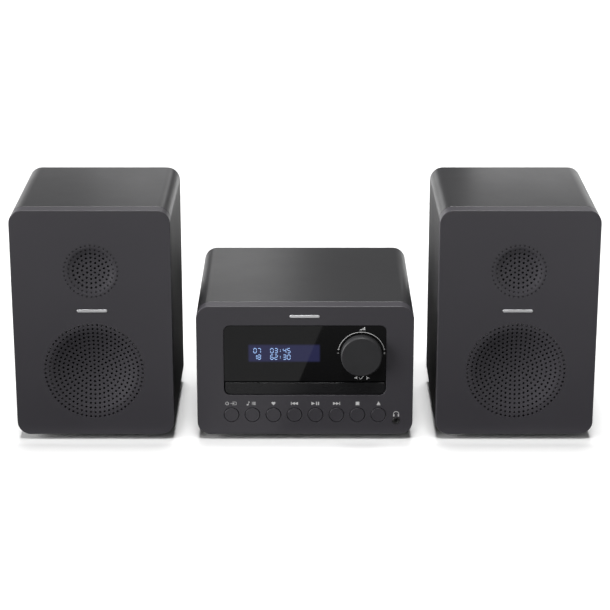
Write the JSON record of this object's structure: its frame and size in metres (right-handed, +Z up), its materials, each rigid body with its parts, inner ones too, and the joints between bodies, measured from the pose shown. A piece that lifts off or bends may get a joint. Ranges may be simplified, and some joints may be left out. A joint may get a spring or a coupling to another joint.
{
  "type": "mini hifi system",
  "caption": "Micro stereo set: main unit with disc tray, display, knob and buttons, and a pair of two-way speakers with perforated fronts.",
  "frame": {"origin": "on the table, under the middle of the whole set's box", "axes": "+X to the right seen from the front, +Y from the fronts to the back, +Z up"},
  "size_m": [0.495, 0.19, 0.205],
  "materials": {
    "cabinet_sleeve": "satin black vinyl wrap",
    "front_moulding": "fine satin black moulding",
    "window": "gloss black tinted",
    "screen": "backlit blue display",
    "knob_plastic": "satin black with a fine turned face",
    "button_plastic": "satin black",
    "steel": "plated",
    "rubber": "matt",
    "inner_plastic": "moulded black",
    "white_plastic": "natural acetal",
    "circuit_board": "solder-masked board",
    "magnet": "dark ferrite",
    "cone_paper": "coated paper",
    "terminal_red": "red",
    "terminal_black": "black"
  },
  "bodies": {
    "root": {"main_cabinet": "cabinet_sleeve", "main_fascia": "front_moulding", "display_window": "window", "display_module": "screen", "encoder_body": "steel", "control_board": "circuit_board", "headphone_jack": "inner_plastic", "loader_frame": "steel", "main_board": "circuit_board", "main_back_plate": "inner_plastic", "main_terminals": "inner_plastic", "power_inlet": "inner_plastic", "aerial_socket": "steel", "main_front_foot": "rubber", "main_rear_foot": "rubber", "left_cabinet": "cabinet_sleeve", "left_baffle": "front_moulding", "left_back_plate": "inner_plastic", "left_woofer_frame": "steel", "left_woofer_magnet": "magnet", "left_tweeter": "inner_plastic", "left_port_tube": "inner_plastic", "left_terminals": "inner_plastic", "left_front_foot": "rubber", "left_rear_foot": "rubber", "right_cabinet": "cabinet_sleeve", "right_baffle": "front_moulding", "right_back_plate": "inner_plastic", "right_woofer_frame": "steel", "right_woofer_magnet": "magnet", "right_tweeter": "inner_plastic", "right_port_tube": "inner_plastic", "right_terminals": "inner_plastic", "right_front_foot": "rubber", "right_rear_foot": "rubber"},
    "plunger": {"encoder_plunger": "steel"},
    "knob": {"volume_knob": "knob_plastic"},
    "power_button": {"power_button": "button_plastic"},
    "info_button": {"info_button": "button_plastic"},
    "favourite_button": {"favourite_button": "button_plastic"},
    "previous_button": {"previous_button": "button_plastic"},
    "play_button": {"play_button": "button_plastic"},
    "next_button": {"next_button": "button_plastic"},
    "stop_button": {"stop_button": "button_plastic"},
    "eject_button": {"eject_button": "button_plastic"},
    "tray": {"disc_tray": "inner_plastic", "tray_door": "window"},
    "tray_gear": {"tray_gear": "white_plastic"},
    "turntable": {"disc_turntable": "inner_plastic"},
    "sled": {"laser_sled": "inner_plastic"},
    "main_lever_left_plus": {"main_lever_left_plus": "terminal_red"},
    "main_lever_left_minus": {"main_lever_left_minus": "terminal_black"},
    "main_lever_right_plus": {"main_lever_right_plus": "terminal_red"},
    "main_lever_right_minus": {"main_lever_right_minus": "terminal_black"},
    "left_lever_plus": {"left_lever_plus": "terminal_red"},
    "left_lever_minus": {"left_lever_minus": "terminal_black"},
    "left_cone": {"left_woofer_cone": "cone_paper"},
    "right_lever_plus": {"right_lever_plus": "terminal_red"},
    "right_lever_minus": {"right_lever_minus": "terminal_black"},
    "right_cone": {"right_woofer_cone": "cone_paper"}
  },
  "joints": [
    {"name": "volume_press", "type": "slide", "parent": "root", "child": "plunger", "axis": [0, 1, 0], "range_m": [0, 0.0006], "stiffness_N_per_m": 4000, "springref_m": -0.0005},
    {"name": "volume_turn", "type": "hinge", "parent": "plunger", "child": "knob", "pos_m": [0.048, -0.0875, 0.078], "axis": [0, -1, 0], "continuous": true},
    {"name": "power_press", "type": "slide", "parent": "root", "child": "power_button", "axis": [0, 1, 0], "range_m": [0, 0.0008], "stiffness_N_per_m": 1500, "springref_m": -0.0003},
    {"name": "info_press", "type": "slide", "parent": "root", "child": "info_button", "axis": [0, 1, 0], "range_m": [0, 0.0008], "stiffness_N_per_m": 1500, "springref_m": -0.0003},
    {"name": "favourite_press", "type": "slide", "parent": "root", "child": "favourite_button", "axis": [0, 1, 0], "range_m": [0, 0.0008], "stiffness_N_per_m": 1500, "springref_m": -0.0003},
    {"name": "previous_press", "type": "slide", "parent": "root", "child": "previous_button", "axis": [0, 1, 0], "range_m": [0, 0.0008], "stiffness_N_per_m": 1500, "springref_m": -0.0003},
    {"name": "play_press", "type": "slide", "parent": "root", "child": "play_button", "axis": [0, 1, 0], "range_m": [0, 0.0008], "stiffness_N_per_m": 1500, "springref_m": -0.0003},
    {"name": "next_press", "type": "slide", "parent": "root", "child": "next_button", "axis": [0, 1, 0], "range_m": [0, 0.0008], "stiffness_N_per_m": 1500, "springref_m": -0.0003},
    {"name": "stop_press", "type": "slide", "parent": "root", "child": "stop_button", "axis": [0, 1, 0], "range_m": [0, 0.0008], "stiffness_N_per_m": 1500, "springref_m": -0.0003},
    {"name": "eject_press", "type": "slide", "parent": "root", "child": "eject_button", "axis": [0, 1, 0], "range_m": [0, 0.0008], "stiffness_N_per_m": 1500, "springref_m": -0.0003},
    {"name": "tray_slide", "type": "slide", "parent": "root", "child": "tray", "axis": [0, -1, 0], "range_m": [0, 0.127]},
    {"name": "tray_gear_spin", "type": "hinge", "parent": "root", "child": "tray_gear", "pos_m": [-0.0507, -0.073, 0.0436], "axis": [0, 0, 1], "range_deg": [0, 809.5]},
    {"name": "turntable_spin", "type": "hinge", "parent": "root", "child": "turntable", "pos_m": [0, -0.0191, 0.04], "axis": [0, 0, 1], "continuous": true},
    {"name": "sled_slide", "type": "slide", "parent": "root", "child": "sled", "axis": [0, 1, 0], "range_m": [0, 0.033]},
    {"name": "main_lever_left_plus_press", "type": "hinge", "parent": "root", "child": "main_lever_left_plus", "pos_m": [-0.066, 0.0813, 0.0825], "axis": [-1, 0, 0], "range_deg": [0, 25], "stiffness_Nm_per_rad": 0.05, "springref_deg": -11.46},
    {"name": "main_lever_left_minus_press", "type": "hinge", "parent": "root", "child": "main_lever_left_minus", "pos_m": [-0.054, 0.0813, 0.0825], "axis": [-1, 0, 0], "range_deg": [0, 25], "stiffness_Nm_per_rad": 0.05, "springref_deg": -11.46},
    {"name": "main_lever_right_plus_press", "type": "hinge", "parent": "root", "child": "main_lever_right_plus", "pos_m": [-0.042, 0.0813, 0.0825], "axis": [-1, 0, 0], "range_deg": [0, 25], "stiffness_Nm_per_rad": 0.05, "springref_deg": -11.46},
    {"name": "main_lever_right_minus_press", "type": "hinge", "parent": "root", "child": "main_lever_right_minus", "pos_m": [-0.03, 0.0813, 0.0825], "axis": [-1, 0, 0], "range_deg": [0, 25], "stiffness_Nm_per_rad": 0.05, "springref_deg": -11.46},
    {"name": "left_lever_plus_press", "type": "hinge", "parent": "root", "child": "left_lever_plus", "pos_m": [-0.186, 0.0523, 0.0605], "axis": [-1, 0, 0], "range_deg": [0, 25], "stiffness_Nm_per_rad": 0.05, "springref_deg": -11.46},
    {"name": "left_lever_minus_press", "type": "hinge", "parent": "root", "child": "left_lever_minus", "pos_m": [-0.174, 0.0523, 0.0605], "axis": [-1, 0, 0], "range_deg": [0, 25], "stiffness_Nm_per_rad": 0.05, "springref_deg": -11.46},
    {"name": "left_cone_slide", "type": "slide", "parent": "root", "child": "left_cone", "axis": [0, -1, 0], "range_m": [-0.0025, 0.0025], "stiffness_N_per_m": 900},
    {"name": "right_lever_plus_press", "type": "hinge", "parent": "root", "child": "right_lever_plus", "pos_m": [0.174, 0.0523, 0.0605], "axis": [-1, 0, 0], "range_deg": [0, 25], "stiffness_Nm_per_rad": 0.05, "springref_deg": -11.46},
    {"name": "right_lever_minus_press", "type": "hinge", "parent": "root", "child": "right_lever_minus", "pos_m": [0.186, 0.0523, 0.0605], "axis": [-1, 0, 0], "range_deg": [0, 25], "stiffness_Nm_per_rad": 0.05, "springref_deg": -11.46},
    {"name": "right_cone_slide", "type": "slide", "parent": "root", "child": "right_cone", "axis": [0, -1, 0], "range_m": [-0.0025, 0.0025], "stiffness_N_per_m": 900}
  ],
  "couplings": [
    {"joint": "tray_gear_spin", "follows": "tray_slide", "rad_per_m": 111.11}
  ]
}
